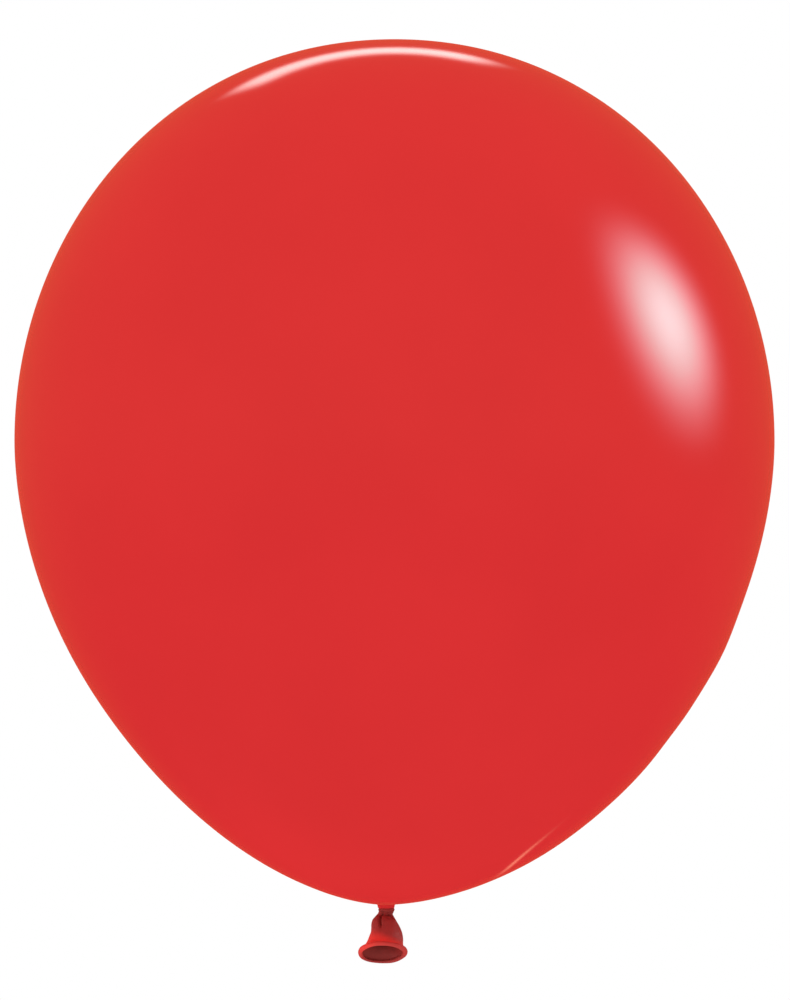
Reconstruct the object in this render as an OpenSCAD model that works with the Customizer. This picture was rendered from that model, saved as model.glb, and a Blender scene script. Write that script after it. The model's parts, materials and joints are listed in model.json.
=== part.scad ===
// Inflated round latex party balloon, tied off with an overhand knot in its neck.
// One dipped film makes the whole thing. It is divided here where its form and its motion change:
// the inflated envelope, the short neck above the knot, the knot's loop and the gathered stem inside it,
// the pinched throat below the knot, the open tail, and the rolled bead round the tail's mouth.
//
// Millimetres. The origin is the tie point, the middle of the knot. +Z points up to the crown, and -Y is
// the front, the side that the mouth of the tail turns towards.

/* [Envelope] */
// Widest diameter of the inflated envelope (18 inch)
balloon_d = 457.2; // [300:1:600]
// Height from the widest section up to the crown
crown_h = 241.5; // [180:0.5:320]
// Height from the widest section down to the bottom, above the neck
base_h = 279.1; // [200:0.5:360]
// Fullness of the crown's curve, 0.5 being an ellipse and less a squarer shoulder
crown_fullness = 0.482; // [0.4:0.001:0.6]
// Power of the height in the base's curve, 2 being an ellipse
base_power = 1.85; // [1.6:0.01:2.2]
// Fullness of the base's curve, more being slimmer towards the neck
base_fullness = 0.576; // [0.45:0.001:0.7]
// Thickness that stands for the stretched film
film_t = 0.3; // [0.2:0.05:1]
// How far the neck sits to the side of the envelope's own axis
neck_offset = 5; // [0:0.5:12]

/* [Neck] */
// Height of the envelope's bottom above the tie point
neck_h = 3; // [2:0.1:8]
// Radius of the neck just above the knot
neck_r = 4.3; // [4:0.1:6]
// Radius where the neck opens out into the envelope
neck_top_r = 6; // [5:0.1:10]
// Thickness of the neck's gathered film
neck_t = 0.6; // [0.3:0.1:0.8]

/* [Knot] */
// Radius of the round section of the knot's loop
loop_r = 1.35; // [1:0.05:1.5]
// Radius of the loop's centre line
loop_turn_r = 2.75; // [2.6:0.05:3]
// Radius of the gathered stem inside the loop
stem_r = 1.3; // [0.8:0.05:1.4]
// Depth of the pinch below the tie point, where the tail bends
pinch_depth = 3.4; // [3.2:0.1:5]
// Radius of the stem's round end at the pinch
stem_end_r = 2.1; // [1.6:0.05:2.2]

/* [Tail] */
// Length of the tail from the pinch to the plane of its mouth
tail_len = 23.8; // [16:0.1:50]
// Radius that the tail's sides start from
tail_root_r = 3; // [2.5:0.1:4]
// Radius that the rounded shoulder adds
tail_shoulder_r = 3.7; // [2:0.1:6]
// Length over which the shoulder grows
tail_shoulder_len = 2.2; // [1:0.1:4]
// Radius that the tail gains for each millimetre of length
tail_slope = 0.19; // [0:0.01:0.3]
// Radius that the flare at the mouth adds
tail_flare_r = 2.2; // [0:0.1:4]
// Length over which the flare grows
tail_flare_len = 2; // [1:0.1:5]
// Thickness of the tail's unstretched film
tail_t = 0.5; // [0.3:0.1:0.8]
// Radius of the rolled bead's section
bead_r = 1.3; // [0.8:0.05:2]
// Tilt of the tail towards the front
tail_tilt = 28; // [0:1:40]
// Lean of the tail to the left
tail_lean = 5; // [0:1:20]

/* [Hidden] */

film_color = "#da3232";
knot_color = "#8c2c2c";
tail_color = "#c83030";

steps = 32;          // straight pieces in each half of the envelope's outline
neck_steps = 6;      // straight pieces in the neck's outline
tail_steps = 14;     // straight pieces in the tail's outline
gap = 0.3;           // clearance between pieces that turn inside one another
turn_gap = 0.15;     // clearance under the neck, where the knot twists
eps = 0.01;
$fn = 96;

widest_z = neck_h + base_h;
foot_z = loop_r + turn_gap;        // the neck's lower end
rim_h = 0.9;                       // height of the neck's rim inside the film's hole
stem_spread_h = 1.2;               // height over which the stem spreads out inside the neck
stem_spread_r = neck_r - neck_t - 2 * gap;
pinch = [0, 0, -pinch_depth];
throat_t = 0.4;
throat_in_r = stem_end_r + 0.25;
throat_out_r = throat_in_r + throat_t;
throat_angle = 88;                 // from the bottom of the throat's cup up to its rim
socket_in_r = throat_out_r + gap;
socket_out_r = socket_in_r + tail_t;
socket_angle = 54;                 // from the tail's axis to the rim of its socket
socket_land = 12;                  // angle that the socket's round inner face covers
shoulder_s = 3;                    // distance along the tail where its side wall starts

// Radius of the crown's outline as a fraction of the widest, s going from 0 at the widest section to 1
function crown_curve(s) = pow(max(0, 1 - s * s), crown_fullness);

// The same below the widest section
function base_curve(s) = pow(max(0, 1 - pow(s, base_power)), base_fullness);

// Outline from the bottom to the crown, set in by a thickness. The sine spaces the points evenly round
// the curve's ends, where its slope changes fastest.
function outline(inset) = concat(
    [for (i = [steps:-1:1]) let (s = sin(90 * i / steps))
        [(balloon_d / 2 - inset) * base_curve(s), widest_z - (base_h - inset) * s]],
    [for (i = [0:steps]) let (s = sin(90 * i / steps))
        [(balloon_d / 2 - inset) * crown_curve(s), widest_z + (crown_h - inset) * s]]
);

function reversed(points) = [for (i = [len(points) - 1:-1:0]) points[i]];

// Outer radius of the neck, t going from 0 at its lower end to 1 at the envelope
function neck_radius(t) = neck_r + (neck_top_r - neck_r) * pow(t, 3);

// Outline of the neck from the bottom up, set in by a thickness
function neck_outline(inset) = [for (i = [0:neck_steps]) let (t = i / neck_steps)
    [neck_radius(t) - inset, foot_z + (neck_h - foot_z) * t]];

// Point at a distance r from the origin, at an angle from the downward axis
function polar(r, angle) = [r * sin(angle), -r * cos(angle)];

// Points of an arc about the origin, between two such angles
function arc(r, from, to, n = 12) = [for (i = [0:n]) polar(r, from + (to - from) * i / n)];

// Outer radius of the tail at a distance s from the pinch: a rounded shoulder, a slow taper, then the flare
function tail_radius(s) = tail_root_r + tail_shoulder_r * (1 - exp(-s / tail_shoulder_len))
    + tail_slope * s + tail_flare_r * exp((s - tail_len) / tail_flare_len);

// Outline of the tail from its shoulder to its mouth, set in by a thickness. The cosine puts more of
// the points near both ends, where the outline curves most.
function tail_outline(inset) = [for (i = [0:tail_steps])
    let (s = shoulder_s + (tail_len - shoulder_s) * (1 - cos(180 * i / tail_steps)) / 2)
        [tail_radius(s) - inset, -s]];

// Inflated film, with the round hole where the neck leaves it
module envelope() {
    color(film_color)
    difference() {
        translate([neck_offset, 0, 0])
            rotate_extrude($fn = 180)
                polygon(concat(outline(0), reversed(outline(film_t))));
        translate([0, 0, neck_h - neck_top_r])
            cylinder(h = 2 * neck_top_r, r = neck_top_r + eps);
    }
}

// Short sleeve of gathered film between the envelope and the knot
module neck() {
    color(film_color)
    rotate_extrude()
        polygon(concat(
            neck_outline(0),
            [[neck_top_r, neck_h + rim_h], [neck_top_r - neck_t, neck_h + rim_h]],
            reversed(neck_outline(neck_t))
        ));
}

// The turn of the overhand knot round its own stem
module knot_loop() {
    color(knot_color)
    rotate_extrude()
        translate([loop_turn_r, 0])
            circle(r = loop_r, $fn = 48);
}

// Gathered film inside the loop: spread out where it enters from the neck, round where it leaves
module knot_stem() {
    color(knot_color)
    union() {
        translate([0, 0, foot_z])
            cylinder(h = stem_spread_h, r1 = stem_r, r2 = stem_spread_r);
        translate(pinch)
            cylinder(h = pinch_depth + foot_z + eps, r = stem_r);
        translate(pinch)
            sphere(r = stem_end_r);
    }
}

// Cup of pinched film that hangs on the stem's end and carries the tail
module throat() {
    color(knot_color)
    translate(pinch)
        rotate_extrude()
            polygon(concat(
                arc(throat_out_r, 0, throat_angle),
                arc(throat_in_r, throat_angle, 0)
            ));
}

// Places something that is drawn along the downward axis on the tilted axis of the tail
module on_tail() {
    translate(pinch)
        rotate([0, tail_lean, 0])
            rotate([-tail_tilt, 0, 0])
                children();
}

// Open tube of unstretched film, from its socket round the throat to the mouth
module tail() {
    inner = reversed(tail_outline(tail_t));
    color(tail_color)
    on_tail()
        rotate_extrude()
            polygon(concat(
                arc(socket_in_r, socket_angle - socket_land, socket_angle, 3),
                [polar(socket_out_r, socket_angle)],
                tail_outline(0),
                [for (i = [0:tail_steps - 1]) inner[i]],
                [inner[tail_steps] - [0, tail_t]]
            ));
}

// Rolled rim round the mouth
module lip_bead() {
    color(tail_color)
    on_tail()
        translate([0, 0, -tail_len - bead_r - eps])
            rotate_extrude()
                translate([tail_radius(tail_len) - tail_t / 2, 0])
                    circle(r = bead_r, $fn = 48);
}

envelope();
neck();
knot_loop();
knot_stem();
throat();
tail();
lip_bead();
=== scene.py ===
"""Round latex party balloon, tied off with a knot in its neck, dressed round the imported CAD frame."""
import json
import math

import bmesh
import bpy
import numpy as np
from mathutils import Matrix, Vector


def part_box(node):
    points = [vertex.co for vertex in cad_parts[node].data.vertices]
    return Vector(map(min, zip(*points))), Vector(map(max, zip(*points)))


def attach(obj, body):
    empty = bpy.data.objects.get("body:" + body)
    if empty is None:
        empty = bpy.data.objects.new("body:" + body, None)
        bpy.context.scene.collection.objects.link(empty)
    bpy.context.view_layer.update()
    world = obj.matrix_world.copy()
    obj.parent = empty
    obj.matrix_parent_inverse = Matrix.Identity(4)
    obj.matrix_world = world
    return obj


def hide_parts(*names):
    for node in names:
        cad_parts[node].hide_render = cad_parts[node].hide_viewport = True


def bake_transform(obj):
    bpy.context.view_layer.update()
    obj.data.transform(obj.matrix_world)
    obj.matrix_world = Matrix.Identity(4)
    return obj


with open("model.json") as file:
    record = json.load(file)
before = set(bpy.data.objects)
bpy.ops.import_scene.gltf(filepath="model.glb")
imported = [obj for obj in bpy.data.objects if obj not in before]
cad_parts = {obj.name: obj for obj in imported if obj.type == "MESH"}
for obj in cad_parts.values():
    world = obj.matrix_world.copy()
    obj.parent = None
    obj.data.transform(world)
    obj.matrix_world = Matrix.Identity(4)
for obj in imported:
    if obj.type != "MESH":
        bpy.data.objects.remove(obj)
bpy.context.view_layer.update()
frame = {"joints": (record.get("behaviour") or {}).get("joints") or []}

MM = 0.001
TAU = 2 * math.pi

# ---------------------------------------------------------------- sizes, from the frame and in millimetres

ENVELOPE_LO, ENVELOPE_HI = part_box("envelope")
JOINTS = {j["name"]: j for j in frame["joints"]}

AXIS_X = (ENVELOPE_LO.x + ENVELOPE_HI.x) / 2          # the envelope's own axis stands beside the neck's
WIDEST_R = (ENVELOPE_HI.x - ENVELOPE_LO.x) / 2 * 0.9999
CROWN_Z = ENVELOPE_HI.z
PINCH = np.array(JOINTS["tail_sway"]["pos_m"])        # where the tail bends, below the knot

CROWN_H = 241.5 * MM        # widest section up to the crown
BASE_H = 279.1 * MM         # widest section down to the bottom
WIDEST_Z = CROWN_Z - CROWN_H
CROWN_FULLNESS = 0.482
BASE_POWER = 1.85
BASE_FULLNESS = 0.576
FILM_T = 0.3 * MM
SHARP_FROM = math.radians(50)

SIDE_BULGE = 2.2 * MM       # the base is a little fuller on its right side
SIDE_BULGE_Z = 80 * MM
SIDE_BULGE_SPREAD = 64 * MM
RIGHT_SWELLS = [(154, 20, 1.15), (102, 12, -0.6), (30, 17, 0.85)]    # height, spread and size, in millimetres
NECK_DRAW = 45 * MM         # distance over which the base swings across to the neck
COLLAR_R = 6.2 * MM         # where the neck's sleeve leaves the envelope

TAIL_TILT = math.radians(28)
TAIL_T = 0.38 * MM
SEAM_S = 3.5 * MM           # distance along the tail where the throat's film hands over to the tail's
TONGUE_ROWS = (0.005, 0.2, 0.4)       # past the seam, in millimetres: the throat's film goes on in the tail's
TONGUE_SINK = 0.08 * MM
TAIL_END_S = 24.2 * MM
LIP_S = 24.5 * MM
LIP_R = 13.2 * MM
LIP_SHIFT = -2.0 * MM
BEAD_R = 1.3 * MM

KNOT_SHIFT = 0.25 * MM
KNOT_ROPE = (1.3 * MM, 1.35 * MM)     # half the rolled film's width and height in the knot

# Half widths of the tail on its left and right: distance from the pinch and radius, in millimetres.
TAIL_LEFT = [(-3.0, 2.6), (-2.4, 4.2), (-1.2, 5.0), (0, 6.1), (1.5, 7.3), (3, 8.2), (6, 8.95), (9.5, 8.95),
             (12, 9.2), (14, 9.9), (16, 10.6), (18.5, 11.6), (21, 13.1), (22.5, 14.5), (23.3, 15.5),
             (24.2, 15.9)]
TAIL_RIGHT = [(-3.0, 2.6), (-1.6, 3.8), (-0.6, 4.1), (0, 4.4), (1.5, 5.2), (3, 5.9), (6, 7.3), (9.5, 8.7),
              (12, 9.5), (14, 9.85), (16, 10.0), (18.5, 10.05), (21, 10.4), (22.5, 10.9), (23.3, 11.5),
              (24.2, 11.9)]
# Swells round the tail and its rim: angle and spread in degrees, and height in millimetres (bead: a share).
LIP_WAVES = [(140, 32, 0.75), (105, 45, 0.5), (205, 24, 0.3), (-28, 22, 0.45)]
BEAD_WAVES = [(112, 46, -0.36), (-148, 24, 0.2), (-32, 24, 0.2), (0, 30, 0.1)]
FRONT_DRAWN_IN = [(-90, 50, 1.5)]
LIP_PAINTED_SHADE = [(0, 0.41), (45, 0.48), (90, 0.52), (135, 0.50), (165, 0.36), (190, 0.2), (225, 0.07),
              (262, 0.29), (290, 0.38), (330, 0.39), (360, 0.41)]     # angle and painted shade, lightest at the front left
CREASES = [  # angle from the right at the pinch and at the far end; width, depth and length in millimetres
    (-126, -109, 0.95, 2.2, 13.5), (-60, -52, 1.4, 0.9, 6.0), (-155, -162, 0.9, 0.8, 5.0),
    (-25, -20, 1.2, 0.8, 6.5), (28, 22, 1.3, 1.2, 8.0), (75, 80, 1.0, 1.6, 7.0),
    (118, 112, 1.3, 0.8, 5.5), (160, 168, 1.1, 1.2, 8.0), (-92, -84, 0.7, 0.4, 4.5),
]

# ---------------------------------------------------------------- colours and view

FILM_DEEP = (0.718, 0.0290, 0.0310)
FILM_LIGHT = (0.740, 0.0304, 0.0324)
# Tail and knot colours from no bunching to full bunching: the light end is a painted pool of light, brighter
# than the inflated film, and the deep end is the deeper red of bunched film with painted shade.
RUBBER_LIT_TO_SHADED = [(0.0, (0.90, 0.056, 0.043)), (0.55, (0.38, 0.040, 0.036)), (1.0, (0.19, 0.028, 0.021))]
GLOSS_ABOVE = (0.72, 0.10, 0.045)
GLOSS_BELOW = (0.72, 0.03, 0.03)
GLOSS_CHANGE = (-0.45, 0.05)          # upward share of the directions between which it changes

TAIL_LIGHT_AIM = (-0.004, -0.008, -0.022)
TAIL_LIGHT_OFFSET = (-0.85, -0.75, -0.22)
TAIL_LIGHT_WATTS = 40
TAIL_LIGHT_SPREAD = math.radians(5)
TAIL_LIGHT_SIZE = 0.1

FLOOR_Z = -1.0
FLOOR_R = 12.0
FLOOR_PALE = (0.93, 0.93, 0.93)

CAMERA_DISTANCE = 4.0
VIEW_HEIGHT = 0.6022        # height of the picture at the balloon
VIEW_MIDDLE_Z = 0.2467


# ---------------------------------------------------------------- curves and meshes

def smoothstep(t):
    """From 0 to 1 as t does, level at both ends."""
    t = np.clip(t, 0.0, 1.0)
    return t * t * (3 - 2 * t)


def curve(x, knots):
    """Smooth curve through (x, value) knots: cubic pieces whose slopes come from the neighbours."""
    kx, ky = np.array(knots, float).T
    slope = np.gradient(ky, kx)
    x = np.clip(x, kx[0], kx[-1])
    i = np.clip(np.searchsorted(kx, x) - 1, 0, len(kx) - 2)
    h = kx[i + 1] - kx[i]
    t = (x - kx[i]) / h
    a = (2 * t**3 - 3 * t**2 + 1) * ky[i] + (t**3 - 2 * t**2 + t) * h * slope[i]
    b = (-2 * t**3 + 3 * t**2) * ky[i + 1] + (t**3 - t**2) * h * slope[i + 1]
    return a + b


def resample(points, spacing):
    """Points along a polyline, the gap after each one being spacing(distance from the start)."""
    points = np.asarray(points, float)
    run = np.concatenate([[0], np.cumsum(np.linalg.norm(np.diff(points, axis=0), axis=1))])
    stops = [0.0]
    while stops[-1] < run[-1]:
        stops.append(stops[-1] + spacing(stops[-1]))
    stops = np.array(stops) * run[-1] / stops[-1]
    return np.stack([np.interp(stops, run, points[:, k]) for k in range(points.shape[1])], axis=1)


def grid_faces(rows, cols, start=0):
    """Quads of a grid that closes on itself along its columns."""
    faces = []
    for i in range(rows - 1):
        for j in range(cols):
            k = (j + 1) % cols
            faces.append((start + i * cols + j, start + i * cols + k,
                          start + (i + 1) * cols + k, start + (i + 1) * cols + j))
    return faces


def make_piece(name, verts, faces, uvs=None, gather_and_shade=None):
    """Mesh object with smooth faces that all face outwards. uvs and the values of bunching and painted shade
    are given
    per vertex: these say how bunched up the film is there and how much painted shade it takes, from 0 for one
    slack layer in painted light to 1 for the bottom of a fold in painted shade."""
    mesh = bpy.data.meshes.new(name)
    mesh.from_pydata([tuple(v) for v in verts], [], faces)
    if uvs is not None:
        layer = mesh.uv_layers.new(name="around_along")
        for poly in mesh.polygons:
            us = [uvs[mesh.loops[li].vertex_index][0] for li in poly.loop_indices]
            wrap = max(us) - min(us) > 0.5
            for li, u in zip(poly.loop_indices, us):
                v = uvs[mesh.loops[li].vertex_index][1]
                layer.data[li].uv = (u + 1 if wrap and u < 0.5 else u, v)
    if gather_and_shade is not None:
        gather_and_shade_layer = mesh.attributes.new("gather_and_shade", "FLOAT", "POINT")
        gather_and_shade_layer.data.foreach_set("value", np.asarray(gather_and_shade, np.float32))
    bm = bmesh.new()
    bm.from_mesh(mesh)
    bmesh.ops.recalc_face_normals(bm, faces=bm.faces)
    for edge in bm.edges:
        edge.smooth = edge.calc_face_angle(0) < SHARP_FROM
    bm.to_mesh(mesh)
    bm.free()
    for poly in mesh.polygons:
        poly.use_smooth = True
    piece = bpy.data.objects.new(name, mesh)
    bpy.context.scene.collection.objects.link(piece)
    return piece


def film_shell(name, outer, inner, pole=False, gather_and_shade=None, along=None):
    """Closed film between two grids of rows of rings, with a rim at each open end. A pole closes the last
    row. The per-vertex values of bunching and painted shade come as a pair of grids, one for each face of the
    film. along is each row's place on the UV map."""
    rows, cols, _ = outer.shape
    n = rows * cols
    verts = list(outer.reshape(-1, 3)) + list(inner.reshape(-1, 3))
    across = np.tile(np.arange(cols) / cols, rows)
    along = np.repeat(np.linspace(0, 1, rows) if along is None else along, cols)
    uvs = list(zip(across, along)) * 2
    faces = grid_faces(rows, cols) + [f[::-1] for f in grid_faces(rows, cols, n)]
    ends = [0] if pole else [0, (rows - 1) * cols]
    for e in ends:
        faces += [(e + j, e + (j + 1) % cols, n + e + (j + 1) % cols, n + e + j) for j in range(cols)]
    if pole:
        for start, ring in ((0, outer[-1]), (n, inner[-1])):
            tip = len(verts)
            verts.append(ring.mean(axis=0))
            uvs.append((0.25, 1.0))
            last = start + (rows - 1) * cols
            faces += [(last + j, last + (j + 1) % cols, tip) for j in range(cols)]
    values = None if gather_and_shade is None else np.concatenate([g.ravel() for g in gather_and_shade])
    return make_piece(name, verts, faces, uvs, values)


def rings(centres, radii, angles):
    """Grid of points from ring centres (rows, 3), radii (rows, cols) and the columns' angles."""
    x = centres[:, 0:1] + radii * np.cos(angles)
    y = centres[:, 1:2] + radii * np.sin(angles)
    z = np.broadcast_to(centres[:, 2:3], x.shape)
    return np.stack([x, y, z], axis=2)


# ---------------------------------------------------------------- the envelope

def envelope_outline():
    """Radius and height from the neck's collar out over the base and up to the crown."""
    down = np.sin(np.linspace(math.pi / 2, 0, 1400))[:-1]
    base_r = WIDEST_R * np.maximum(0, 1 - down**BASE_POWER) ** BASE_FULLNESS
    base = np.stack([base_r, WIDEST_Z - BASE_H * down], axis=1)
    up = np.sin(np.linspace(0, math.pi / 2, 1200))
    crown = np.stack([WIDEST_R * np.maximum(0, 1 - up**2) ** CROWN_FULLNESS, WIDEST_Z + CROWN_H * up], axis=1)
    outline = np.concatenate([base, crown])
    first = np.argmax(outline[:, 0] > COLLAR_R)
    start = np.array([[COLLAR_R, np.interp(COLLAR_R, outline[:first + 1, 0], outline[:first + 1, 1])]])
    return np.concatenate([start, outline[first:]])


def base_centre_x(r, z):
    """Sideways place of a ring's centre: over the neck at the collar, on the envelope's axis further out."""
    whole = 1 - math.exp(-(WIDEST_R - COLLAR_R) / NECK_DRAW)
    drawn = AXIS_X * (1 - np.exp(-(r - COLLAR_R) / NECK_DRAW)) / whole
    low = z < WIDEST_Z
    bulge = SIDE_BULGE * np.exp(-(((z - SIDE_BULGE_Z) / SIDE_BULGE_SPREAD) ** 2))
    return np.where(low, drawn + bulge * np.clip((r - COLLAR_R) / NECK_DRAW, 0, 1), AXIS_X)


def right_swell(r, z):
    """How far the film's right side stands out from a round balloon."""
    total = np.zeros_like(z)
    for middle, spread, size in RIGHT_SWELLS:
        total += size * MM * np.exp(-(((z / MM - middle) / spread) ** 2))
    return total * np.clip((r - COLLAR_R) / NECK_DRAW, 0, 1)


def make_envelope(cols=224):
    """The inflated film, open at its collar and closed at the crown."""
    outline = resample(envelope_outline(), lambda run: np.clip(0.06 * run, 0.35 * MM, 4.2 * MM))
    outline = outline[outline[:, 0] > 0.6 * MM]
    r, z = outline.T
    slope = np.gradient(outline, axis=0)
    normal = np.stack([slope[:, 1], -slope[:, 0]], axis=1)
    normal /= np.linalg.norm(normal, axis=1)[:, None]
    angles = np.arange(cols) / cols * TAU
    swell = right_swell(r, z)
    centres = np.stack([base_centre_x(r, z) + swell / 2, np.zeros_like(r), z], axis=1)
    r = r + swell / 2
    outer = rings(centres, np.repeat(r[:, None], cols, axis=1), angles)
    inner_r = np.maximum(r - FILM_T * normal[:, 0], 0.3 * MM)
    inner_centres = centres - np.stack([np.zeros_like(r), np.zeros_like(r), FILM_T * normal[:, 1]], axis=1)
    inner = rings(inner_centres, np.repeat(inner_r[:, None], cols, axis=1), angles)
    return film_shell("envelope_film", outer, inner, pole=True)


# ---------------------------------------------------------------- neck, knot, tail

def folds(angles, spots, widths, depths):
    """Sum of narrow valleys round a ring, each an angle, a width and a depth, as a share of one."""
    total = np.zeros_like(angles)
    for spot, width, depth in zip(spots, widths, depths):
        off = (angles - spot + math.pi) % TAU - math.pi
        total += depth * np.exp(-((off / width) ** 2))
    return total


def gathers(angles, count, seed, width=0.55):
    """Uneven radial pleats: count valleys at jittered places, depths between a half and one."""
    rng = np.random.default_rng(seed)
    step = TAU / count
    spots = (np.arange(count) + rng.uniform(-0.22, 0.22, count)) * step
    widths = step * width * rng.uniform(0.38, 0.62, count)
    return folds(angles, spots, widths, rng.uniform(0.5, 1.0, count))


def make_neck(cols=224):
    """Sleeve of gathered film from the envelope's collar down over the top of the knot."""
    top_z = envelope_outline()[0, 1]
    outline = resample(np.array([
        (COLLAR_R, top_z), (5.68 * MM, top_z - 0.1 * MM), (5.38 * MM, top_z - 0.36 * MM),
        (5.22 * MM, top_z - 0.8 * MM), (5.14 * MM, top_z - 1.3 * MM), (5.08 * MM, top_z - 1.75 * MM),
        (4.98 * MM, top_z - 2.1 * MM), (4.6 * MM, top_z - 2.42 * MM), (3.6 * MM, top_z - 2.62 * MM),
    ]), lambda run: 0.09 * MM)
    r, z = outline.T
    angles = np.arange(cols) / cols * TAU
    depth = 0.24 * MM * smoothstep((top_z - z - 0.3 * MM) / (1.9 * MM))
    pleats = gathers(angles, 17, seed=3)
    radii = r[:, None] - depth[:, None] * pleats[None, :]
    centres = np.stack([np.zeros_like(r), np.zeros_like(r), z], axis=1)
    thickness = FILM_T + 0.3 * MM * smoothstep((top_z - z) / (1.5 * MM))
    slope = np.gradient(outline, axis=0)
    normal = np.stack([-slope[:, 1], slope[:, 0]], axis=1)
    normal /= np.linalg.norm(normal, axis=1)[:, None]
    inner_centres = centres + np.stack([0 * r, 0 * r, -thickness * normal[:, 1]], axis=1)
    inner = rings(inner_centres, radii - (thickness * normal[:, 0])[:, None], angles)
    return film_shell("neck_sleeve", rings(centres, radii, angles), inner)


def capped(name, grid, gather_and_shade=None, uvs=None):
    """Closed piece from rows of rings, with a point at the middle of each end."""
    rows, cols, _ = grid.shape
    verts, faces = list(grid.reshape(-1, 3)), grid_faces(rows, cols)
    if uvs is None:
        uvs = list(zip(np.tile(np.arange(cols) / cols, rows), np.repeat(np.linspace(0, 1, rows), cols)))
    values = None if gather_and_shade is None else list(gather_and_shade.ravel())
    for row in (0, rows - 1):
        tip = len(verts)
        verts.append(grid[row].mean(axis=0))
        uvs.append((0.25, row / (rows - 1)))
        if values is not None:
            values.append(float(gather_and_shade[row].mean()))
        faces += [(row * cols + j, row * cols + (j + 1) % cols, tip) for j in range(cols)]
    return make_piece(name, verts, faces, uvs, values)


def make_knot_turn(cols=48):
    """The overhand knot: film rolled into a rope that goes round its own stem, then dives under itself."""
    t = np.linspace(0, 1, 190)
    turn = math.radians(110) - t * math.radians(580)
    reach = curve(t, [(0, 1.6), (0.07, 2.9), (0.15, 3.35), (0.62, 3.35), (0.75, 3.2), (0.85, 3.0),
                      (0.93, 2.85), (1, 1.9)]) * MM
    height = curve(t, [(0, 0.6), (0.25, 0.0), (0.6, -0.2), (0.75, -0.75), (0.85, -1.65), (0.93, -2.35),
                       (1, -2.7)]) * MM
    path = np.stack([KNOT_SHIFT + reach * np.cos(turn), reach * np.sin(turn), height], axis=1)
    along = np.gradient(path, axis=0)
    along /= np.linalg.norm(along, axis=1)[:, None]
    out = np.stack([np.cos(turn), np.sin(turn), np.zeros_like(turn)], axis=1)
    up = np.cross(along, out)
    up /= np.linalg.norm(up, axis=1)[:, None]
    up *= np.sign(up[:, 2:3])
    out -= along * np.sum(out * along, axis=1)[:, None]
    out /= np.linalg.norm(out, axis=1)[:, None]
    size = curve(t, [(0, 0.4), (0.1, 0.85), (0.2, 1.0), (0.68, 1.0), (0.85, 0.86), (0.94, 0.74), (1, 0.35)])
    phi = np.arange(cols) / cols * TAU
    rng = np.random.default_rng(5)
    wrinkle = sum(rng.uniform(0.4, 1) * np.cos(k * phi[None, :] + rng.uniform(0, TAU)
                  + rng.uniform(-5, 5) * t[:, None]) for k in (4, 7, 11, 15))
    across = KNOT_ROPE[0] * (size[:, None] * np.cos(phi) * (1 + 0.022 * wrinkle))
    high = KNOT_ROPE[1] * (size[:, None] * np.sin(phi) * (1 + 0.022 * wrinkle))
    grid = path[:, None, :] + out[:, None, :] * across[:, :, None] + up[:, None, :] * high[:, :, None]
    # Deep red of the bunched film, with painted light on the rope's upper side and on its wrinkles' crests,
    # and painted shade where it dives under itself.
    gather_and_shade = 0.68 - 0.10 * np.sin(phi)[None, :] - 0.05 * wrinkle + 0.1 * smoothstep((t - 0.7) / 0.2)[:, None]
    return capped("knot_turn", grid, gather_and_shade)


def make_knot_core(cols=96):
    """Gathered film that runs through the knot, as a pleated rope."""
    z = np.linspace(2.2, -3.0, 60) * MM
    angles = np.arange(cols) / cols * TAU
    r = curve(z / MM, [(-3.0, 1.4), (-2.4, 2.0), (-1.2, 1.9), (0.6, 1.8), (1.6, 2.3), (2.2, 2.7)]) * MM
    pleats = gathers(angles, 11, seed=8)
    radii = r[:, None] * (1 - 0.16 * pleats)[None, :]
    centres = np.stack([0 * z, 0 * z, z], axis=1)
    # Deep red of the bunched film, with painted shade in the pleats' valleys.
    return capped("knot_core", rings(centres, radii, angles), np.tile(0.55 + 0.3 * pleats, (len(z), 1)))


def fold_valleys(s, angles):
    """Creases that run down the tail from the pinch: how deep each point lies in one, in metres, and how
    much of a crease it is at all."""
    mean_r = (curve(s / MM, TAIL_LEFT) + curve(s / MM, TAIL_RIGHT))[:, None] / 2
    depth = np.zeros((len(s), len(angles)))
    share = np.zeros_like(depth)
    for first, last, width, deep, length in CREASES:
        run = np.clip(s / (length * MM), 0, 1)[:, None]
        spot = np.radians(first + (last - first) * run)
        off = (angles[None, :] - spot + math.pi) % TAU - math.pi
        valley = np.exp(-((off * mean_r / width) ** 2))
        strength = (1 - smoothstep((run - 0.6) / 0.4)) * smoothstep((s[:, None] / MM + 2.6) / 2.6)
        depth += deep * MM * valley * strength
        share = np.maximum(share, valley * strength * min(1, deep / 1.6))
    return depth, share


def waves_round(angles, waves):
    """Sum of smooth swells round a ring, each an angle and a spread in degrees and a height."""
    total = np.zeros_like(angles)
    for spot, spread, height in waves:
        off = (angles - math.radians(spot) + math.pi) % TAU - math.pi
        total += height * np.exp(-((off / math.radians(spread)) ** 2))
    return total


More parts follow.
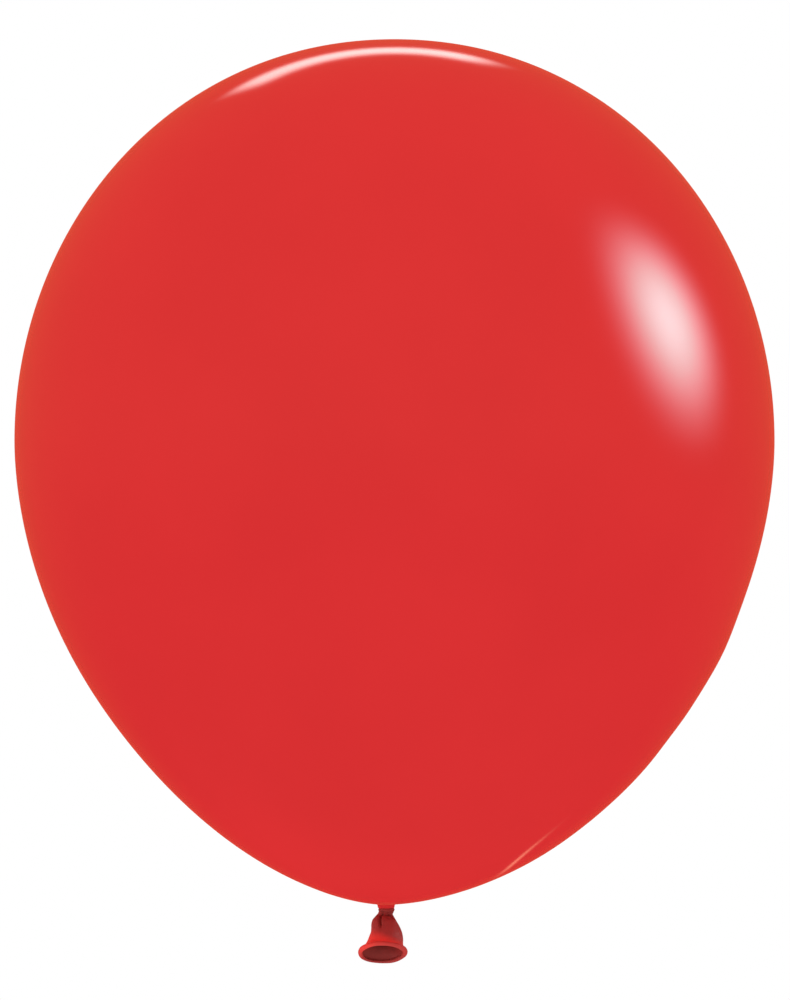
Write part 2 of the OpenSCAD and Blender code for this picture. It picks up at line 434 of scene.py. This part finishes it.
def tail_radii(s, angles):
    """Outer radius over (distance along the tail, angle): fuller on the left, creased, drawn in at the front
    under the knot, with a slack wave and a rim that isn't quite round."""
    left, right = curve(s / MM, TAIL_LEFT) * MM, curve(s / MM, TAIL_RIGHT) * MM
    radii = (left + right)[:, None] / 2 + (right - left)[:, None] / 2 * np.cos(angles)[None, :]
    slack = smoothstep((s / MM - 5) / 5)[:, None] * (1 - smoothstep((s / MM - 16) / 6))[:, None]
    wave = 0.25 * np.sin(2 * angles + 0.6) + 0.14 * np.sin(5 * angles + 2.1)
    close = (1 - smoothstep((s / MM - 1) / 8))[:, None] * smoothstep((s / MM + 2.4) / 2.4)[:, None]
    radii = radii - close * waves_round(angles, FRONT_DRAWN_IN)[None, :] * MM
    swing = smoothstep((s / MM - 16) / 7.7)[:, None] * waves_round(angles, LIP_WAVES)[None, :] * MM
    return radii - fold_valleys(s, angles)[0] + slack * MM * wave[None, :] + swing


def on_tail(points, tilt):
    """Points about the tail's own axis, z down it, turned by the tilt and hung from the pinch."""
    x, y, z = np.moveaxis(points, -1, 0)
    cos, sin = np.cos(tilt), np.sin(tilt)
    return PINCH + np.stack([x, y * cos + z * sin, -y * sin + z * cos], axis=-1)


def tail_grid(s, angles, inset):
    """Tail film at rest, inset per row: rings about the tail's axis, bent at the pinch from straight down to
    the tilt."""
    radii = tail_radii(s, angles) - inset[:, None]
    x, y = radii * np.cos(angles), radii * np.sin(angles)
    z = np.broadcast_to(-s[:, None], x.shape)
    tilt = TAIL_TILT * smoothstep((s + 1.2 * MM) / (SEAM_S + 1.2 * MM))
    return on_tail(np.stack([x, y, z], axis=2), np.broadcast_to(tilt[:, None], x.shape))


def tail_gather_and_shade(s, angles):
    """How bunched the tail's film is and how much painted shade it takes, outside and inside: tight and
    darkest by the knot, slack later, last in front. The dark by the knot is partly the thicker bunched film
    and partly painted shade; creases and the whole inside face get painted shade, and the slack part is
    painted lighter on its left.
    """
    slack_from = 14.6 + 4.0 * np.cos(angles) - 4.4 * np.sin(angles)
    change = (9.9 - 1.2 * np.cos(angles) + 2.0 * np.sin(angles))[None, :]
    slack = smoothstep((s[:, None] / MM - slack_from[None, :]) / change + 0.5)
    near_left = np.exp(-((np.minimum(angles, TAU - angles) - math.pi) / 0.5) ** 2)[None, :]
    to_right = 0.5 + 0.5 * np.cos(angles)[None, :]
    # Outside face: bunched and in painted shade by the knot, slack below; the slack part takes painted shade
    # on its right and painted light on its left, and the tight part is painted lighter on the left. The next
    # line adds painted shade down the creases.
    outside = 0.16 * to_right * slack + 0.57 * (1 - slack) - 0.13 * near_left * (1 - slack)
    outside = outside + (1 - outside) * 0.8 * fold_valleys(s, angles)[1]
    # Inside face: painted shade all over, deepest near the knot, lighter to the right.
    inside = 0.84 + 0.14 * (1 - s[:, None] / TAIL_END_S) - 0.3 * to_right**2
    return outside, inside


def tail_part(name, s, tongue=(), cols=320):
    """Film over distances s along the tail. A thinner tongue further on lies inside the next part's film."""
    angles = np.arange(cols) / cols * TAU
    thinner = np.repeat([0.0, TONGUE_SINK], [len(s), len(tongue)])
    s = np.concatenate([s, tongue])
    outer, inner = tail_grid(s, angles, thinner), tail_grid(s, angles, TAIL_T - thinner)
    return film_shell(name, outer, inner, gather_and_shade=tail_gather_and_shade(s, angles), along=s / TAIL_END_S)


def make_lip(cols=320, around=40):
    """Rolled rim: a ring of film rolled up on itself, whose last edge is a small step inside the mouth."""
    angles = np.arange(cols) / cols * TAU
    phi = np.arange(around) / around * TAU
    rng = np.random.default_rng(12)
    wobble = sum(rng.uniform(0.4, 1) * np.cos(k * angles + rng.uniform(0, TAU)) for k in (2, 3, 5))
    swell = 1 + 0.03 * sum(rng.uniform(0.3, 1) * np.cos(k * angles + rng.uniform(0, TAU)) for k in (4, 7, 13))
    off = (phi - math.radians(215)) % TAU
    section = 1 - 0.13 * np.exp(-off / 0.35) + 0.02 * np.cos(2 * phi)
    r = BEAD_R * swell[None, :] * section[:, None]
    r = r * (1 + waves_round(angles, BEAD_WAVES))[None, :]
    ring_r = LIP_R + MM * (waves_round(angles, LIP_WAVES) + 0.06 * wobble)[None, :]
    ring = ring_r + r * np.cos(phi)[:, None]
    x = LIP_SHIFT + ring * np.cos(angles)[None, :]
    y = ring * np.sin(angles)[None, :]
    z = -LIP_S + 0.1 * MM * np.roll(wobble, 40)[None, :] + r * np.sin(phi)[:, None]
    grid = on_tail(np.stack([x, y, z], axis=2), TAIL_TILT)
    faces = grid_faces(around, cols)
    last = (around - 1) * cols
    faces += [(last + j, last + (j + 1) % cols, (j + 1) % cols, j) for j in range(cols)]
    uvs = list(zip(np.tile(angles / TAU, around), np.repeat(phi / TAU, cols)))
    # Painted shade and light round the rim, lightest at the front left, and a little painted shade on one
    # side of the rolled bead's section.
    gather_and_shade = curve(np.degrees(angles), LIP_PAINTED_SHADE)[None, :] + 0.08 * (0.5 - 0.5 * np.cos(phi + 0.8))[:, None]
    return make_piece("lip_roll", grid.reshape(-1, 3), faces, uvs, np.clip(gather_and_shade, 0, 1).ravel())


# ---------------------------------------------------------------- materials

def new_material(name, roughness, ior=1.52):
    """Material with a Principled shader, and that shader."""
    mat = bpy.data.materials.new(name)
    mat.use_nodes = True
    shader = mat.node_tree.nodes["Principled BSDF"]
    shader.inputs["Roughness"].default_value = roughness
    shader.inputs["IOR"].default_value = ior
    return mat, shader


def add_node(mat, kind, links=(), **values):
    """Node of a kind with its settings, its numbered or named inputs linked or set."""
    node = mat.node_tree.nodes.new(kind)
    for key, value in values.items():
        if hasattr(node, key):
            setattr(node, key, value)
        else:
            node.inputs[key.replace("_", " ")].default_value = value
    for socket, source in links:
        mat.node_tree.links.new(source, node.inputs[socket])
    return node


def ramp_between(mat, fac, stops):
    """Colour ramp through (position, colour) stops."""
    ramp = add_node(mat, "ShaderNodeValToRGB", [("Fac", fac)])
    while len(ramp.color_ramp.elements) < len(stops):
        ramp.color_ramp.elements.new(0.5)
    for element, (position, colour) in zip(ramp.color_ramp.elements, stops):
        element.position = position
        element.color = (*colour, 1)
    return ramp.outputs["Color"]


def add_bump(mat, shader, height, distance, strength):
    """Fine relief from a height output."""
    bump = add_node(mat, "ShaderNodeBump", [("Height", height)], Strength=strength, Distance=distance)
    mat.node_tree.links.new(bump.outputs["Normal"], shader.inputs["Normal"])


def stretched_latex():
    """Inflated film: even red and glossy, with the faint mottling of the dip."""
    mat, shader = new_material("stretched_latex_look", 0.09)
    place = add_node(mat, "ShaderNodeTexCoord").outputs["Object"]
    mottle = add_node(mat, "ShaderNodeTexNoise", [("Vector", place)], Scale=9, Detail=3)
    colour = ramp_between(mat, mottle.outputs["Fac"], [(0.35, FILM_DEEP), (0.65, FILM_LIGHT)])
    mat.node_tree.links.new(colour, shader.inputs["Base Color"])
    fine = add_node(mat, "ShaderNodeTexNoise", [("Vector", place)], Scale=60, Detail=2)
    add_bump(mat, shader, fine.outputs["Fac"], 0.0002, 0.05)
    return mat


def thick_latex(name, stops, roughness):
    """Unstretched film, less glossy, finely creased along its length. Its colour follows the per-vertex
    bunching and painted shade: deeper red where the film is bunched up, painted shade in creases, by the knot
    and inside, and a painted pool of light at the light end.
    """
    mat, shader = new_material(name, roughness)
    shader.inputs["Specular IOR Level"].default_value = 0.1
    coords = add_node(mat, "ShaderNodeTexCoord")
    gather_and_shade = add_node(mat, "ShaderNodeAttribute", attribute_name="gather_and_shade")
    mottle = add_node(mat, "ShaderNodeTexNoise", [("Vector", coords.outputs["Object"])], Scale=260, Detail=3)
    centred = add_node(mat, "ShaderNodeMath", [(0, mottle.outputs["Fac"])], operation="SUBTRACT")
    centred.inputs[1].default_value = 0.5
    spread = add_node(mat, "ShaderNodeMath", [(0, centred.outputs[0]), (2, gather_and_shade.outputs["Fac"])],
                      operation="MULTIPLY_ADD")
    spread.inputs[1].default_value = 0.16
    colour = ramp_between(mat, spread.outputs[0], stops)
    mat.node_tree.links.new(colour, shader.inputs["Base Color"])
    streaks = add_node(mat, "ShaderNodeMapping", [("Vector", coords.outputs["UV"])])
    streaks.inputs["Scale"].default_value = (70, 5, 1)
    noise = add_node(mat, "ShaderNodeTexNoise", [("Vector", streaks.outputs["Vector"])], Scale=1, Detail=4)
    add_bump(mat, shader, noise.outputs["Fac"], 0.00025, 0.35)
    return mat


# ---------------------------------------------------------------- studio

def make_world():
    """White studio all round. What the gloss sees of it is a dim red, so that the balloon's rim stays red."""
    world = bpy.data.worlds.new("studio")
    bpy.context.scene.world = world
    world.use_nodes = True
    tree = world.node_tree
    surface = tree.nodes["Background"]
    path = tree.nodes.new("ShaderNodeLightPath")
    mix = tree.nodes.new("ShaderNodeMix")
    mix.data_type = "RGBA"
    mix.inputs["A"].default_value = (1.0, 1.0, 1.0, 1)
    place = tree.nodes.new("ShaderNodeTexCoord")
    split = tree.nodes.new("ShaderNodeSeparateXYZ")
    height = tree.nodes.new("ShaderNodeMapRange")
    height.inputs["From Min"].default_value = GLOSS_CHANGE[0]
    height.inputs["From Max"].default_value = GLOSS_CHANGE[1]
    glossy = tree.nodes.new("ShaderNodeMix")
    glossy.data_type = "RGBA"
    glossy.inputs["A"].default_value = (*GLOSS_BELOW, 1)
    glossy.inputs["B"].default_value = (*GLOSS_ABOVE, 1)
    tree.links.new(place.outputs["Generated"], split.inputs[0])
    tree.links.new(split.outputs["Z"], height.inputs["Value"])
    tree.links.new(height.outputs["Result"], glossy.inputs["Factor"])
    tree.links.new(glossy.outputs["Result"], mix.inputs["B"])
    tree.links.new(path.outputs["Is Glossy Ray"], mix.inputs["Factor"])
    tree.links.new(mix.outputs["Result"], surface.inputs["Color"])


def ball_patch(name, target, distance, azimuths, elevation_at, half_height, cols=48, rows=16):
    """Curved panel round target, facing it. Azimuth 0 is the camera's side and 90 the right. Its middle
    line's elevation is elevation_at(u), u from -1 to 1 over the azimuths, and so is its UV map."""
    verts, uvs = [], []
    for i in range(rows + 1):
        for j in range(cols + 1):
            u, v = 2 * j / cols - 1, 2 * i / rows - 1
            a = math.radians(azimuths[0] + (azimuths[1] - azimuths[0]) * (u + 1) / 2)
            e = math.radians(elevation_at(u) + v * half_height)
            out = Vector((math.sin(a) * math.cos(e), -math.cos(a) * math.cos(e), math.sin(e)))
            verts.append(Vector(target) + out * distance)
            uvs.append((u, v))
    faces = []
    for i in range(rows):
        for j in range(cols):
            k = i * (cols + 1) + j
            faces.append((k, k + 1, k + cols + 2, k + cols + 1))
    mesh = bpy.data.meshes.new(name)
    mesh.from_pydata(verts, [], faces)
    layer = mesh.uv_layers.new(name="face")
    for loop in mesh.loops:
        layer.data[loop.index].uv = uvs[loop.vertex_index]
    panel = bpy.data.objects.new(name, mesh)
    bpy.context.scene.collection.objects.link(panel)
    panel.visible_camera = panel.visible_diffuse = panel.visible_shadow = False
    return panel


def light_panel(panel, colour, strength, power=None, edge=(1.0, 1.0), fringe=None):
    """Panel that glows, and is clear where it's dim. With a power it's a round pool, (1 - r squared) to that
    power; otherwise it fades to each side over that share of its half size. fringe tints its dim part."""
    mat = bpy.data.materials.new(panel.name)
    mat.use_nodes = True
    tree = mat.node_tree
    tree.nodes.remove(tree.nodes["Principled BSDF"])
    coords = add_node(mat, "ShaderNodeTexCoord").outputs["UV"]
    split = add_node(mat, "ShaderNodeSeparateXYZ", [("Vector", coords)])
    if power is not None:
        squares = [add_node(mat, "ShaderNodeMath", [(0, split.outputs[axis]), (1, split.outputs[axis])],
                            operation="MULTIPLY").outputs[0] for axis in "XY"]
        total = add_node(mat, "ShaderNodeMath", [(0, squares[0]), (1, squares[1])], operation="ADD")
        inner = add_node(mat, "ShaderNodeMath", [(1, total.outputs[0])], operation="SUBTRACT", use_clamp=True)
        inner.inputs[0].default_value = 1
        shape = add_node(mat, "ShaderNodeMath", [(0, inner.outputs[0])], operation="POWER")
        shape.inputs[1].default_value = power
    else:
        fades = []
        for axis, share in zip("XY", edge):
            size = add_node(mat, "ShaderNodeMath", [(0, split.outputs[axis])], operation="ABSOLUTE")
            fade = add_node(mat, "ShaderNodeMapRange", [("Value", size.outputs[0])],
                            interpolation_type="SMOOTHERSTEP")
            for socket, value in (("From Min", 1 - share), ("From Max", 1), ("To Min", 1), ("To Max", 0)):
                fade.inputs[socket].default_value = value
            fades.append(fade.outputs["Result"])
        shape = add_node(mat, "ShaderNodeMath", [(0, fades[0]), (1, fades[1])], operation="MULTIPLY")
    glow = add_node(mat, "ShaderNodeMath", [(0, shape.outputs[0])], operation="MULTIPLY")
    glow.inputs[1].default_value = strength
    tint = ramp_between(mat, shape.outputs[0], [(0.0, fringe or colour), (0.6, colour)])
    emission = add_node(mat, "ShaderNodeEmission", [("Strength", glow.outputs[0]), ("Color", tint)])
    clear = add_node(mat, "ShaderNodeBsdfTransparent")
    both = add_node(mat, "ShaderNodeAddShader", [(0, emission.outputs[0]), (1, clear.outputs[0])])
    tree.links.new(both.outputs[0], tree.nodes["Material Output"].inputs["Surface"])
    panel.data.materials.append(mat)


def make_reflections():
    """What the gloss shows: a softbox on the right, a strip over the crown and a thin one at the lower right.
    Each panel stands round the place on the film where its highlight is."""
    softbox = ball_patch("side_softbox", target=(0.163, -0.148, 0.349), distance=3.0,
                         azimuths=(58.5, 138.0), elevation_at=lambda u: 21.4 - 4.0 * u, half_height=37.0)
    light_panel(softbox, (0.42, 0.95, 0.97), 11.6, power=7, fringe=(0.95, 0.85, 1.0))
    back_strip = ball_patch("back_strip", target=(AXIS_X, -0.07, 0.505), distance=3.0,
                            azimuths=(166.0, 204.5), elevation_at=lambda u: 33.0 + 1.5 * u + 1.2 * u * u,
                            half_height=6.8)
    light_panel(back_strip, (1.0, 1.0, 0.97), 2.75, edge=(0.4, 1.0))
    low_strip = ball_patch("low_strip", target=(0.085, -0.055, 0.04), distance=2.2, azimuths=(151.5, 176.5),
                           elevation_at=lambda u: -29.1 + 9.6 * u + 7.6 * u * u, half_height=1.1)
    light_panel(low_strip, (1.0, 0.67, 0.42), 1.3, edge=(1.0, 1.0))


def make_tail_light():
    """Small lamp low on the left, on the tail alone: its lower left side is the bright one."""
    lamp = bpy.data.objects.new("tail_light", bpy.data.lights.new("tail_light", "SPOT"))
    bpy.context.scene.collection.objects.link(lamp)
    aim = Vector(TAIL_LIGHT_AIM)
    lamp.location = aim + Vector(TAIL_LIGHT_OFFSET)
    lamp.rotation_euler = (aim - lamp.location).to_track_quat("-Z", "Y").to_euler()
    lamp.data.energy = TAIL_LIGHT_WATTS
    lamp.data.spot_size = TAIL_LIGHT_SPREAD
    lamp.data.spot_blend = 1.0
    lamp.data.shadow_soft_size = TAIL_LIGHT_SIZE
    lamp.data.specular_factor = 0.0


def make_floor(steps=96):
    """Plain pale floor, well below the hanging balloon."""
    turns = [i / steps * TAU for i in range(steps)]
    verts = [(FLOOR_R * math.cos(a), FLOOR_R * math.sin(a), FLOOR_Z) for a in turns]
    mesh = bpy.data.meshes.new("floor")
    mesh.from_pydata(verts, [], [tuple(range(steps))])
    floor = bpy.data.objects.new("floor", mesh)
    bpy.context.scene.collection.objects.link(floor)
    mat, shader = new_material("floor_paint", 0.9)
    shader.inputs["Base Color"].default_value = (*FLOOR_PALE, 1)
    shader.inputs["Specular IOR Level"].default_value = 0.0
    mesh.materials.append(mat)
    floor.visible_glossy = False


def make_camera():
    """Level camera in front, far enough off to show no perspective."""
    camera = bpy.data.objects.new("camera", bpy.data.cameras.new("camera"))
    bpy.context.scene.collection.objects.link(camera)
    camera.location = (AXIS_X + 0.0003, -CAMERA_DISTANCE, VIEW_MIDDLE_Z)
    camera.rotation_euler = (math.pi / 2, 0, 0)
    camera.data.sensor_width = 36
    camera.data.lens = 36 * CAMERA_DISTANCE / VIEW_HEIGHT
    bpy.context.scene.camera = camera


# ---------------------------------------------------------------- put together

def dress(piece, material, slot, *nodes):
    """Give the piece its material and let it stand in for its CAD nodes, which it hides. slot is not used."""
    piece.data.materials.append(material)
    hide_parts(*nodes)


make_camera()
make_world()
make_floor()
make_tail_light()

scene = bpy.context.scene
scene.view_settings.view_transform = "Standard"
scene.view_settings.look = "None"

film = stretched_latex()
knot_rubber = thick_latex("thick_latex_look", RUBBER_LIT_TO_SHADED, 0.5)
tail_rubber = thick_latex("tail_latex_look", RUBBER_LIT_TO_SHADED, 0.5)

envelope = make_envelope()
dress(envelope, film, "stretched_latex", "envelope")
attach(envelope, "balloon")

neck = make_neck()
dress(neck, film, "stretched_latex", "neck")
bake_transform(neck)

knot_turn = make_knot_turn()
dress(knot_turn, knot_rubber, "thick_latex", "knot_loop")
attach(knot_turn, "knot")

knot_core = make_knot_core()
dress(knot_core, knot_rubber, "thick_latex", "knot_stem")
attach(knot_core, "knot")

throat = tail_part("throat_folds", np.linspace(-3.0 * MM, SEAM_S, 60), SEAM_S + np.array(TONGUE_ROWS) * MM)
dress(throat, tail_rubber, "thick_latex", "throat")
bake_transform(throat)

tail = tail_part("tail_film", np.linspace(SEAM_S, TAIL_END_S, 150))
dress(tail, tail_rubber, "tail_latex", "tail")
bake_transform(tail)

lip = make_lip()
dress(lip, tail_rubber, "tail_latex", "lip_bead")
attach(lip, "tail")

for piece in (neck, knot_turn, knot_core, throat, tail, lip):
    piece.visible_glossy = False      # the photo's gloss shows the studio alone, not the tail

make_reflections()
